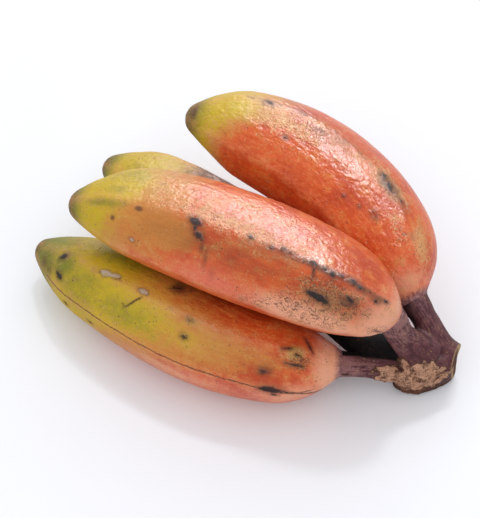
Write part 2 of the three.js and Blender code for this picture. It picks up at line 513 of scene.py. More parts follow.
def smooth_profile(profile, shares):
    """A profile's radius at shares of its length, on a smooth curve through its points."""
    knots = np.array([profile[0], *profile, profile[-1]])
    steps = np.arange(24)[:, None] / 24
    pieces = []
    for a, b, c, d in zip(knots, knots[1:], knots[2:], knots[3:]):
        start, end = (c - a) / 2, (d - b) / 2
        bend, turn = 3 * (c - b) - 2 * start - end, 2 * (b - c) + start + end
        pieces.append(b + start * steps + bend * steps**2 + turn * steps**3)
    radii, heights = np.concatenate([*pieces, knots[-1:]]).T
    return np.interp(shares, np.maximum.accumulate(heights), radii)


def turned(degrees):
    """An angle between -180 and 180."""
    return (degrees + 180) % 360 - 180


def ease(value, low, high):
    """0 below low, 1 above high, and smooth between."""
    t = np.clip((value - low) / (high - low), 0, 1)
    return t * t * (3 - 2 * t)


def rough(points, size, seed=0, octaves=1):
    """Smooth noise at points, about -1 to 1, with bumps of a size."""
    shift = Vector((seed * 1.7, seed * 2.3, seed * 3.1))
    places = (Vector(p) / size + shift for p in points)
    if octaves == 1:
        return np.array([noise.noise(p) for p in places])
    return np.array([noise.fractal(p, 0.9, 2.0, octaves) for p in places])


def to_object(name, bm, smooth=True):
    """A new object from a bmesh, standing at the origin."""
    for face in bm.faces:
        face.smooth = smooth
    mesh = bpy.data.meshes.new(name)
    bm.to_mesh(mesh)
    bm.free()
    made = bpy.data.objects.new(name, mesh)
    bpy.context.scene.collection.objects.link(made)
    return made


def store(mesh, name, values):
    """Keeps a number, or a vector, for each vertex."""
    values = np.asarray(values, np.float32)
    kind, field = ("FLOAT", "value") if values.ndim == 1 else ("FLOAT_VECTOR", "vector")
    mesh.attributes.new(name, kind, "POINT").data.foreach_set(field, values.ravel())


def positions(mesh):
    values = np.zeros(len(mesh.vertices) * 3, np.float32)
    mesh.vertices.foreach_get("co", values)
    return values.reshape(-1, 3).astype(float)


class Fruit:
    """One fruit: where each of its vertices is along and round it, and what grows there."""

    # How far the end of the peel is tucked in past the neck.
    TUCK = 1.6 * MM
    # What strokes hold far outside them, in millimetres.
    FAR_OUTSIDE = -4.0

    def __init__(self, name, spec, settings):
        self.name, self.spec, self.settings = name, spec, settings
        self.seed = len(name)
        self.line = CentreLine(spec["line"])
        self.length = spec["length"]

    def build(self):
        bm = bmesh.new()
        bmesh.ops.create_uvsphere(
            bm, u_segments=self.settings.sides, v_segments=self.settings.rings, radius=1.0
        )
        ball = np.array([v.co for v in bm.verts])
        self.along = (1 + np.clip(ball[:, 2], -1, 1)) / 2 * (self.length + self.TUCK)
        self.around = np.degrees(np.arctan2(ball[:, 1], ball[:, 0]))
        for vert, place in zip(bm.verts, self.place()):
            vert.co = place
        bmesh.ops.recalc_face_normals(bm, faces=bm.faces)
        made = to_object(self.name + "_peel", bm)
        self.mark(made.data)
        return made

    def plain_radius(self):
        """The radius along the fruit, which meets the stalk in a smooth hollow."""
        share = np.clip(self.along / self.length, 0, 1)
        radius = smooth_profile(FRUIT_PROFILE, share) * self.spec["girth"]
        stalk = self.spec["stalk"]
        to_neck = self.length - self.along
        least = stalk + 0.27 * MM * np.exp(-((to_neck / (4 * MM)) ** 2))
        radius = np.where(self.along > self.length * 0.9, np.maximum(radius, least), radius)
        tucked = stalk - 0.2 * MM - 0.5 * MM * ease(-to_neck, 0.5 * MM, self.TUCK)
        tucked += 0.4 * MM * ease(to_neck, -0.8 * MM, 0)
        radius = np.where(to_neck < 0, np.minimum(radius, tucked), radius)
        # The high power keeps the radius until just before the end, and closes it there.
        return radius * np.sqrt(np.clip(1 - (self.along / (self.length + self.TUCK)) ** 400, 0, 1))

    def ridge_angles(self):
        """Each ridge's angle at each vertex: a ridge wanders a little along the fruit."""
        bend = ease(self.along / self.length, 0.72, 0.98)
        drift = 1.6 * np.sin(self.along / self.length * 5.0 + self.seed)
        ridges = self.spec["ridges"]
        return [angle + turn * bend + drift * math.cos(angle) for angle, turn in ridges]

    def swell(self):
        """How wide the section is at each vertex, against its plain radius."""
        share = self.along / self.length
        strength = ease(share, 0.01, 0.2) * (1 - 0.75 * ease(share, 0.86, 1.0))
        rise = np.zeros(len(self.along))
        rounding, reach = 2.5, 15.0
        for angle in self.ridge_angles():
            away = np.sqrt(turned(self.around - angle) ** 2 + rounding**2) - rounding
            rise = np.maximum(rise, np.exp(-away / reach))
        return 1 - 0.02 * strength + self.settings.ridge_rise * strength * rise

    def place(self):
        """Every vertex's place: the ridged section round the line, with lumps and wrinkles."""
        settings, seed = self.settings, self.seed
        point, _, over, side = self.line.at(self.along)
        turn = np.radians(self.around)
        outwards = over * np.cos(turn)[:, None] + side * np.sin(turn)[:, None]
        radius = self.plain_radius() * self.swell()
        surface = point + outwards * radius[:, None]
        fade = ease(self.length - self.along, 0, 8 * MM)
        lumps = rough(surface, 22 * MM, seed) * settings.lumps
        lumps += rough(surface, 9 * MM, seed + 5) * settings.lumps * 0.45
        wrinkles = rough(surface, 2.6 * MM, seed + 9, octaves=3) * settings.wrinkles
        surface += outwards * ((lumps + wrinkles) * fade)[:, None]
        surface[:, 2] = np.maximum(surface[:, 2], GROUND)
        self.radius = radius
        self.ragged = rough(surface, 2.2 * MM, seed + 3) * 0.35
        return surface

    def mark(self, mesh):
        """Stores where the colours and marks are, for the peel's material."""
        turn = np.radians(self.around)
        share = np.clip(self.along / self.length, 0, 1)
        plain = self.spec["girth"] * smooth_profile(FRUIT_PROFILE, share)
        straight = [plain * np.cos(turn), plain * np.sin(turn), self.along + 0.2 * self.seed]
        store(mesh, "straight", np.stack(straight, axis=1))
        store(mesh, "from_tip", self.along / MM)
        store(mesh, "to_neck", (self.length - self.along) / MM)
        store(mesh, "yellow", self.yellow())
        store(mesh, "blot", self.strokes(self.spec["blots"]))
        store(mesh, "scab", self.strokes(self.spec["scabs"]))
        for name in ("smudges", "russet", "green", "blush", "warm", "burnt", "pale", "crackle"):
            store(mesh, name, self.patches(self.spec[name]))
        names = ("crest_side", "crest_line", "crest_grime", "crest")
        for name, values in zip(names, self.crests()):
            store(mesh, name, values)

    def yellow(self):
        """1 in the yellow tip, a half where it ends, 0 beyond."""
        knots = sorted((turned(angle), reach) for angle, reach in self.spec["yellow"])
        angles = [a for a, _ in knots]
        reach = np.interp(self.around, angles, [r for _, r in knots], period=360)
        return np.clip(0.5 + (reach - self.along / MM) / (1.1 * reach), 0, 1)

    def away(self, along, around):
        """Millimetres along and round the fruit from a place on it."""
        across = np.radians(turned(self.around - around)) * self.radius / MM
        return self.along / MM - along, across

    def strokes(self, strokes):
        """How many millimetres inside the nearest stroke a vertex is; negative is outside."""
        inside = np.full(len(self.along), self.FAR_OUTSIDE)
        for along, around, end_along, end_around, width in strokes:
            x, y = self.away(along, around)
            run = end_along - along
            rise = math.radians(turned(end_around - around)) * self.spec["girth"] / MM
            share = np.clip((x * run + y * rise) / max(run**2 + rise**2, 1e-6), 0, 1)
            half = width / 2 * (1 - 0.5 * (2 * share - 1) ** 2)
            # A thin stroke is made as dark as a broad one.
            firm = max(1.0, 1.7 / width)
            depth = (half - np.hypot(x - share * run, y - share * rise)) * firm
            inside = np.maximum(inside, depth)
        return inside + self.ragged

    def patches(self, patches):
        """A soft-edged strength, from 0 to 1."""
        whole = np.zeros(len(self.along))
        for along, around, half_length, half_width, strength in patches:
            x, y = self.away(along, around)
            near = np.exp(-((x / half_length) ** 2) - (y / half_width) ** 2)
            whole = np.maximum(whole, strength * near)
        return whole

    def crests(self):
        """Millimetres sideways from the nearest ridge, its line, its grime and how near it is."""
        along = self.along / MM
        offset = np.full(len(along), 99.0)
        line, grime = np.zeros(len(along)), np.zeros(len(along))
        for number, angle in enumerate(self.ridge_angles()):
            across = np.radians(turned(self.around - angle)) * self.radius / MM
            nearer = np.abs(across) < np.abs(offset)
            offset = np.where(nearer, across, offset)
            near = np.exp(-((across / 5) ** 2))
            for ridge, start, end, drawn, dirty in self.spec["dirty_ridges"]:
                if ridge == number:
                    run = ease(along, start - 6, start + 6) * (1 - ease(along, end - 4, end + 4))
                    line = np.maximum(line, near * run * drawn)
                    grime = np.maximum(grime, near * run * dirty)
        return offset, line, grime, np.exp(-((offset / 2.5) ** 2))


# --------------------------------------------------------------------------- shading


class Wire:
    """An output of a shader node. Arithmetic on it adds Math nodes."""

    def __init__(self, paint, socket):
        self.paint, self.socket = paint, socket

    def __add__(self, other):
        return self.paint.math("ADD", self, other)

    __radd__ = __add__

    def __sub__(self, other):
        return self.paint.math("SUBTRACT", self, other)

    def __rsub__(self, other):
        return self.paint.math("SUBTRACT", other, self)

    def __mul__(self, other):
        return self.paint.math("MULTIPLY", self, other)

    __rmul__ = __mul__

    def __abs__(self):
        return self.paint.math("ABSOLUTE", self)

    def between(self, low, high):
        """0 at low, 1 at high, smooth between; low may be the greater."""
        if low > high:
            return 1 - self.between(high, low)
        return self.paint.node(
            "ShaderNodeMapRange",
            {"interpolation_type": "SMOOTHSTEP"},
            {"Value": self, "From Min": low, "From Max": high},
        )


class Paint:
    """A material and its nodes. Its base is the colour painted so far."""

    def __init__(self, name):
        self.base = None
        self.material = bpy.data.materials.new(name)
        self.material.use_nodes = True
        self.tree = self.material.node_tree
        self.tree.nodes.clear()

    def node(self, kind, settings=None, inputs=None, output=0):
        """Adds a node, sets it, feeds its inputs, and gives the asked output."""
        made = self.tree.nodes.new(kind)
        for key, value in (settings or {}).items():
            setattr(made, key, value)
        for key, value in (inputs or {}).items():
            socket = made.inputs[key]
            if isinstance(value, Wire):
                self.tree.links.new(value.socket, socket)
            elif hasattr(value, "__len__") and socket.type == "RGBA":
                socket.default_value = (*value, 1.0)[:4]
            else:
                socket.default_value = value
        return Wire(self, made.outputs[output]) if len(made.outputs) else made

    def math(self, operation, *values):
        return self.node("ShaderNodeMath", {"operation": operation}, dict(enumerate(values)))

    def most(self, a, b):
        return self.math("MAXIMUM", a, b)

    def mix(self, share, first, second):
        """A colour between two."""
        settings = {"data_type": "RGBA", "clamp_factor": True}
        return self.node("ShaderNodeMix", settings, {0: share, 6: first, 7: second}, output=2)

    def lay(self, share, tint):
        """Lays a colour over the base."""
        self.base = self.mix(share, self.base, tint)

    def uneven(self, value, *clouds):
        """A value made uneven by clouds, each with how much it changes the value in all."""
        for cloud, amount in clouds:
            value = value + (cloud - 0.5) * amount
        return value

    def place(self):
        return self.node("ShaderNodeTexCoord", output="Object")

    def kept(self, name, output="Fac"):
        """What the mesh stores for each vertex under a name."""
        return self.node("ShaderNodeAttribute", {"attribute_name": name}, output=output)

    def stretched(self, place, factors):
        return self.node("ShaderNodeVectorMath", {"operation": "MULTIPLY"}, {0: place, 1: factors})

    def shifted(self, place, by):
        return self.node("ShaderNodeVectorMath", {"operation": "ADD"}, {0: place, 1: by})

    def cloud(self, place, size, detail=3.0, roughness=0.55, distortion=0.0):
        """Smooth noise from 0 to 1 with patches of a size in millimetres."""
        return self.node(
            "ShaderNodeTexNoise",
            inputs={
                "Vector": place,
                "Scale": 1 / (size * MM),
                "Detail": detail,
                "Roughness": roughness,
                "Distortion": distortion,
            },
        )

    def specks(self, place, size, share, reach=0.3):
        """Separate specks: one in each cell of a size in millimetres, in a share of the cells."""
        cells = {"Vector": place, "Scale": 1 / (size * MM)}
        distance = self.node("ShaderNodeTexVoronoi", inputs=cells, output="Distance")
        chance = self.node("ShaderNodeTexVoronoi", inputs=cells, output="Color")
        chance = self.node("ShaderNodeSeparateColor", inputs={"Color": chance}, output="Red")
        return distance.between(reach, reach * 0.5) * (share - chance).between(-0.02, 0.02)

    def bump(self, height, distance):
        inputs = {"Height": height, "Distance": distance, "Strength": 1.0}
        return self.node("ShaderNodeBump", inputs=inputs)

    def finish(self, **sockets):
        """Ends in one Principled surface. Underscores stand for the spaces of its socket names."""
        inputs = {}
        for key, value in sockets.items():
            inputs[key.replace("_", " ").title().replace("Ior", "IOR")] = value
        surface = self.node("ShaderNodeBsdfPrincipled", inputs=inputs)
        self.node("ShaderNodeOutputMaterial", inputs={"Surface": surface})
        return self.material


def peel_material(look, bark):
    """Waxy peel: yellow tip, orange-red body, dirt on the ridges, russet, bruises and blots, with
    some painted shade and a painted highlight along the ridge crests.
    """
    p = Paint("red_banana_peel")
    place = p.place()
    straight = p.kept("straight", "Vector")
    broad = p.cloud(place, 16, 2)
    mottle = p.cloud(p.shifted(place, (3.1, 1.7, 0.4)), 4.2, 4, 0.6)
    fine = p.cloud(p.shifted(place, (0.4, 5.2, 2.2)), 1.1, 4, 0.65)
    grainy = p.cloud(p.shifted(place, (1.1, 0.3, 4.2)), 0.55, 3, 0.7)
    streak = p.cloud(p.stretched(straight, (1, 1, 0.18)), 1.6, 3, 0.6)
    patchy = mottle * 0.5 + grainy * 0.5
    russet, green, smudges = p.kept("russet"), p.kept("green"), p.kept("smudges")

    # The ground colour: orange red, deeper and warmer in patches, pink blushes, paler at the neck.
    ground = (broad * 0.5 + mottle * 0.3 + streak * 0.2).between(0.36, 0.6)
    p.base = p.mix(ground, look.deep_red, look.flesh_red)
    p.lay((mottle * 0.5 + streak * 0.5).between(0.5, 0.66) * 0.4, look.orange)
    p.lay((fine * 0.5 + grainy * 0.3 + streak * 0.2).between(0.5, 0.64) * 0.25, look.salmon)
    p.lay((grainy * 0.6 + fine * 0.4).between(0.47, 0.37) * 0.25, look.deep_red)
    p.lay(p.kept("blush") * patchy.between(0.2, 0.6), look.blush)
    warm = p.uneven(p.kept("warm"), (mottle, 0.6), (fine, 0.4)).between(0.15, 0.75)
    p.lay(warm * 0.75, look.ochre)
    # Browner patches; some of them are painted shade.
    p.lay(p.kept("burnt") * (mottle * 0.6 + fine * 0.4).between(0.2, 0.65) * 0.6, look.bruise)
    end = p.uneven(p.kept("pale"), (mottle, 0.5), (grainy, 0.3)).between(0.1, 0.8)
    p.lay(end * 0.8, look.pale_end)

    # The yellow tip, its ragged edge, and the green left in it.
    edge = p.uneven(p.kept("yellow"), (broad, 0.35), (mottle, 0.4), (streak, 0.3), (grainy, 0.3))
    edge = edge + green.between(0.3, 1.0) * 0.5
    p.lay(edge.between(-0.05, 0.5) * 0.9, look.ochre)
    p.lay(edge.between(0.36, 0.8), look.yellow)
    flecks = (fine * 0.5 + streak * 0.5).between(0.5, 0.62)
    p.lay(flecks * edge.between(0.2, 0.5) * 0.45, look.ochre)
    unripe = p.uneven(green, (mottle, 0.6), (fine, 0.4), (broad, 0.5))
    p.lay(unripe.between(0.1, 0.9) * edge.between(0.2, 0.5), look.olive)
    very_tip = p.uneven(p.kept("from_tip"), (mottle, 6))
    p.lay(very_tip.between(14, 1) * 0.7, look.olive)
    p.lay(very_tip.between(9, 1.5) * 0.7, look.bruise)

    # Corky russet in a broken network, scuffs, grit, pale pores, and dark pits and curly cracks.
    cork = (russet * 0.4 + grainy * 0.5 + fine * 0.5 + mottle * 0.3).between(0.78, 0.96)
    p.lay(cork * 0.75, look.russet)
    dust = (fine * 0.5 + grainy * 0.4 + broad * 0.35 + mottle * 0.3).between(0.84, 0.93)
    p.lay(dust * 0.45, look.russet)
    scuffs = p.cloud(p.stretched(straight, (0.4, 0.4, 1.5)), 1.3, 3, 0.65).between(0.58, 0.68)
    p.lay(scuffs * (mottle * 0.5 + broad * 0.5).between(0.42, 0.62) * 0.4, look.russet)
    grit = (grainy * 0.7 + fine * 0.3).between(0.42, 0.33)
    p.lay(grit * (broad * 0.4 + mottle * 0.6).between(0.4, 0.62) * 0.45, look.bruise)
    p.lay(p.specks(place, 1.7, 0.35, 0.24) * 0.35, look.russet)
    freckles = p.specks(p.shifted(place, (0.3, 0.6, 0.5)), 1.4, 0.4, 0.24)
    p.lay(freckles * mottle.between(0.42, 0.6) * 0.7, look.bruise)
    pits = p.specks(p.shifted(place, (0.7, 0.2, 0.9)), 2.6, 0.2, 0.16)
    more_pits = p.specks(p.shifted(place, (0.1, 0.8, 0.3)), 1.2, 0.6, 0.32)
    more_pits = more_pits * russet.between(0.2, 0.7)
    curl = p.cloud(p.shifted(place, (2.2, 4.4, 1.3)), 1.8, 2, 0.5, 1.2)
    cracks = abs(curl - 0.5).between(0.045, 0.018)
    cracks = cracks * (p.kept("crackle") + mottle).between(0.75, 1.05)
    p.lay(p.most(p.most(pits, more_pits) * 0.85, cracks) * 0.8, look.bruise)

    # Ridges: paler along the crests, partly rubbed peel and partly a painted highlight, and some
    # dirty with a broken dark line.
    p.lay(p.kept("crest") * patchy.between(0.35, 0.65) * 0.35, look.salmon)
    beside = abs(p.uneven(p.kept("crest_side"), (mottle, 1.6), (fine, 1.0)))
    line = (p.kept("crest_line") + streak * 0.4 + fine * 0.9).between(1.05, 1.25)
    line = line * beside.between(0.5, 0.1)
    grime = p.kept("crest_grime") * beside.between(4.0, 0.0) * 0.5 + grainy * 0.45 + mottle * 0.6
    p.lay(grime.between(0.7, 1.0) * 0.6, look.bruise)
    spots = p.specks(place, 1.5, 0.6, 0.42) * (grime + fine * 0.4).between(1.02, 1.2)

    # Bruises, scabs and blots.
    # Bruised smudges; some of them are painted shade.
    p.lay(smudges.between(0.05, 0.8) * 0.3, look.bruise)
    smudge_and_shade = p.uneven(smudges, (mottle, 0.8), (grainy, 1.0)).between(0.25, 0.85)
    smudge_and_shade = smudge_and_shade * smudges.between(0.02, 0.2)
    p.lay(smudge_and_shade * 0.75, look.bruise)
    p.lay(line * 0.85, look.bruise)
    p.lay(spots * 0.85, look.blot)
    ragged = (mottle - 0.5) * 1.2 + (fine - 0.5) * 1.1 + (grainy - 0.5) * 0.6
    scab = p.kept("scab") + ragged * 1.5
    p.lay(scab.between(-1.2, -0.1) * 0.3, look.bruise)
    p.lay(scab.between(-0.2, 0.6) * (grainy * 0.6 + streak * 0.4).between(0.3, 0.6), look.scab)
    blot = p.kept("blot") + ragged
    p.lay(blot.between(-2.4, 0.2) * 0.45, look.bruise)
    satellites = (blot * 0.2 + grainy * 1.2 + fine * 0.6).between(0.92, 1.04)
    satellites = satellites * blot.between(-3.2, -0.6) * 0.8
    p.lay(p.most(blot.between(-0.3, 0.7), satellites) * 0.92, look.blot)

    # The neck turns into stalk.
    woody = p.uneven(p.kept("to_neck"), (streak, 2), (fine, 1.5)).between(3.6, 0.2)
    p.lay(woody, p.mix(streak.between(0.35, 0.65), bark.bark, bark.pale_bark))

    # Clean wax is glossy and rippled. Cork, bruises, scabs, blots, wood and the tip are duller.
    dry = p.most(scab.between(0, 0.5), blot.between(-0.6, 0.3))
    dry = p.most(p.most(cork, smudge_and_shade) * 0.6, dry)
    duller = dry * 0.32 + woody * 0.25 + edge.between(0.2, 0.7) * 0.25
    ripples = p.cloud(p.stretched(straight, (1, 1, 0.8)), 2.3, 1.5, 0.45, 0.3) * 0.75
    ripples = ripples + p.cloud(p.stretched(straight, (1, 1, 0.7)), 1.15, 1.5, 0.5, 0.4) * 0.3
    height = ripples * (0.6 + mottle * 0.8) + grainy * 0.12 + cork * 0.1
    height = height - blot.between(-0.4, 0.5) * 0.3 - pits * 0.3
    height = height + scab.between(0, 0.4) * (0.3 + fine * 0.5)
    return p.finish(
        base_color=p.base,
        roughness=look.roughness + grainy * 0.1 + duller,
        normal=p.bump(height, look.ripples),
        specular_ior_level=0.27,
    )


def stalk_material(look):
    """Fibrous purple-brown bark, torn tan wood and a cut end with a pale rim, with painted shade on
    and between the stalks and at the crown's foot.
    """
    p = Paint("banana_stalk_bark")
    place = p.place()
    grain = p.kept("grain", "Vector")
    fibre = p.cloud(p.stretched(grain, (1, 1, 0.1)), 0.7, 3, 0.55)
    fine = p.cloud(place, 0.7, 3, 0.6)
    patch = p.cloud(place, 3.5, 3, 0.55)

    # Bark, paler where it is young and darker towards the crown, with yellowish flecks and painted
    # shade.
    young = p.kept("young")
    streaks = (fibre * 0.35 + patch * 0.4 + fine * 0.25).between(0.36, 0.6)
    p.base = p.mix(streaks, look.dark_bark, look.bark)
    pale = (fibre * 0.3 + patch * 0.4 + fine * 0.3 + young * 0.12).between(0.5, 0.68)
    p.lay(pale * (0.35 + young * 0.3), look.pale_bark)
    # Darker towards the crown; on the right stalk, whose paleness is cut to 0.3, this is painted
    # shade all along.
    p.lay((1 - young) * 0.3, look.dark_bark)
    flecks = p.specks(p.stretched(grain, (1, 1, 0.5)), 1.1, 0.55, 0.3)
    p.lay(flecks * patch.between(0.42, 0.58) * 0.6, look.lichen)
    # Near-black painted shade on the back stalk, on one side of the front and right stalks and at
    # the crown's foot, and a dark border round the torn place.
    damp = p.kept("damp")
    shade_and_border = p.most(p.kept("sap"), p.most(damp * 0.7, p.kept("torn_border") * 0.8))
    shade_and_border = p.uneven(shade_and_border, (patch, 0.8), (fine, 0.4))
    p.lay(shade_and_border.between(0.35, 0.8), look.shade_and_border)

    # The torn place: tan shreds and dark hollows, and painted shade at the crown's foot under it.
    shreds = p.cloud(p.stretched(place, (0.5, 0.5, 1.6)), 1.5, 4, 0.65, 0.6)
    crumbs = p.cloud(place, 0.35, 3, 0.7)
    torn = p.uneven(p.kept("torn"), (patch, 0.5), (fine, 0.4), (shreds, 0.4))
    dry = (patch * 0.4 + shreds * 0.3 + crumbs * 0.3).between(0.42, 0.54)
    wood = p.mix(dry, look.torn_dark, look.torn_wood)
    wood = p.mix((shreds * 0.4 + crumbs * 0.6).between(0.5, 0.62) * 0.5, wood, look.torn_pale)
    wood = p.mix((fine * 0.5 + crumbs * 0.5).between(0.47, 0.36) * 0.7, wood, look.torn_dark)
    p.lay(torn.between(0.0, 0.35) * 0.8, look.torn_dark)
    p.lay(torn.between(0.2, 0.8), wood)
    # Painted shade at the foot of the crown, near the table.
    p.lay(p.uneven(damp, (patch, 0.8)).between(0.1, 0.7) * 0.9, look.torn_dark)

    # The knife cut and its rim.
    cut = p.kept("cut")
    cut_wood = p.mix(fine.between(0.3, 0.7) * 0.6, look.cut_wood, look.torn_dark)
    p.lay(cut.between(0.4, 0.6), cut_wood)
    p.lay(p.kept("cut_rim") * (0.3 + fine * 0.48), look.cut_rim)

    duller = p.most(p.most(torn, shade_and_border), cut).between(0.35, 0.6) * 0.3
    return p.finish(
        base_color=p.base,
        roughness=look.roughness + fine * 0.2 + duller,
        normal=p.bump(
            fibre * 0.4 + fine * 0.25 + torn.between(0.35, 0.5) * patch, look.grooves
        ),
        specular_ior_level=0.15,
    )


def table_material(look):
    """Smooth white laminate with the faintest unevenness."""
    p = Paint("white_table")
    cloud = p.cloud(p.place(), 240, 2)
    return p.finish(
        base_color=p.mix(cloud, look.table, tuple(0.985 * part for part in look.table)),
        roughness=look.table_roughness + cloud * 0.02,
        specular_ior_level=0.45,
    )


# --------------------------------------------------------------------------- pieces


def settle(made, node, material):
    """Puts a finished piece in a CAD node's place."""
    made.data.materials.append(material)
    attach(made, "root")
    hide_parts(node)


class BANANA_OT_fruits(bpy.types.Operator):
    """Make the four fruits, each with its own ridges and marks"""

    bl_idname = "banana_hand.fruits"
    bl_label = "Fruits"

    def execute(self, context):
        look = context.scene.banana_peel
        material = peel_material(look, context.scene.banana_stalk)
        for name, spec in FINGERS.items():
            settle(Fruit(name, spec, look).build(), name, material)
        return {"FINISHED"}


def sweep_stalk(bm, spec):
    """Adds a closed stalk, from inside the fruit's neck to inside the crown."""
    line = CentreLine(spec["line"])
    start, end = spec["length"] - STALK_OVERLAP, line.length
    made = bmesh.ops.create_uvsphere(bm, u_segments=48, v_segments=64, radius=1.0)["verts"]
    ball = np.array([v.co for v in made])
    share = (1 + np.clip(ball[:, 2], -1, 1)) / 2
    along = start + share * (end - start)
    around = np.arctan2(ball[:, 1], ball[:, 0])
    grown = np.clip((along - spec["length"]) / (end - spec["length"]), 0, 1)
    radius = smooth_profile(STALK_PROFILE, grown) * spec["stalk"]
    radius *= np.sqrt(np.clip(1 - (1 - share * 2) ** 60, 0, 1))
    radius *= 1 + 0.05 * np.cos(3 * around + len(spec["ridges"])) * ease(grown, 0.05, 0.3)
    point, _, over, side = line.at(along)
    outwards = over * np.cos(around)[:, None] + side * np.sin(around)[:, None]
    for vert, place in zip(made, point + outwards * radius[:, None]):
        vert.co = place


def crown_block(bm):
    """Adds the crown's block, from its outline."""
    low = [bm.verts.new((x, y, 0)) for x, y in CROWN_OUTLINE]
    base = bm.faces.new(low)
    risen = bmesh.ops.extrude_face_region(bm, geom=[base])["geom"]
    top = [part for part in risen if isinstance(part, bmesh.types.BMVert)]
    bmesh.ops.translate(bm, verts=top, vec=(0, 0, CROWN_HEIGHT))
    edges = list({edge for vert in low + top for edge in vert.link_edges})
    bmesh.ops.bevel(
        bm, geom=edges, offset=CROWN_EDGE, segments=3, profile=0.5, affect="EDGES", material=-1
    )


def remeshed(made, size):
    """One closed skin round everything in an object."""
    skin = made.modifiers.new("skin", "REMESH")
    skin.mode = "VOXEL"
    skin.voxel_size = size
    soft = made.modifiers.new("soft", "SMOOTH")
    soft.factor, soft.iterations = 0.5, 14
    graph = bpy.context.evaluated_depsgraph_get()
    mesh = bpy.data.meshes.new_from_object(made.evaluated_get(graph))
    made.modifiers.clear()
    old, made.data = made.data, mesh
    bpy.data.meshes.remove(old)
    return made


def grain_of(places):
    """The nearest stalk's straightened coordinates and number, and how far a place is towards
    that stalk's side with painted shade, as a share of its radius."""
    best = np.full(len(places), np.inf)
    grain = np.zeros((len(places), 3))
    owner, facing = np.zeros(len(places)), np.zeros(len(places))
    for name, spec in FINGERS.items():
        number = NUMBERS[name]
        line = CentreLine(spec["line"])
        run = np.linspace(spec["length"] - STALK_OVERLAP, line.length, 60)
        points, _, over, side = line.at(run)
        gaps = np.linalg.norm(places[:, None, :] - points[None], axis=2)
        near = gaps.argmin(axis=1)
        gap = gaps[np.arange(len(places)), near] / spec["stalk"]
        out = places - points[near]
        up, across = (out * over[near]).sum(axis=1), (out * side[near]).sum(axis=1)
        side_facing = RIGHT_SHADE_FACING if name == "banana_right" else FRONT_SHADE_FACING
        nearer = gap < best
        best = np.where(nearer, gap, best)
        mine = np.stack([up, across, run[near] + number * GRAIN_SHIFT], axis=1)
        grain = np.where(nearer[:, None], mine, grain)
        owner = np.where(nearer, number, owner)
        facing = np.where(nearer, out @ np.array(side_facing) / spec["stalk"], facing)
    return grain, owner, facing


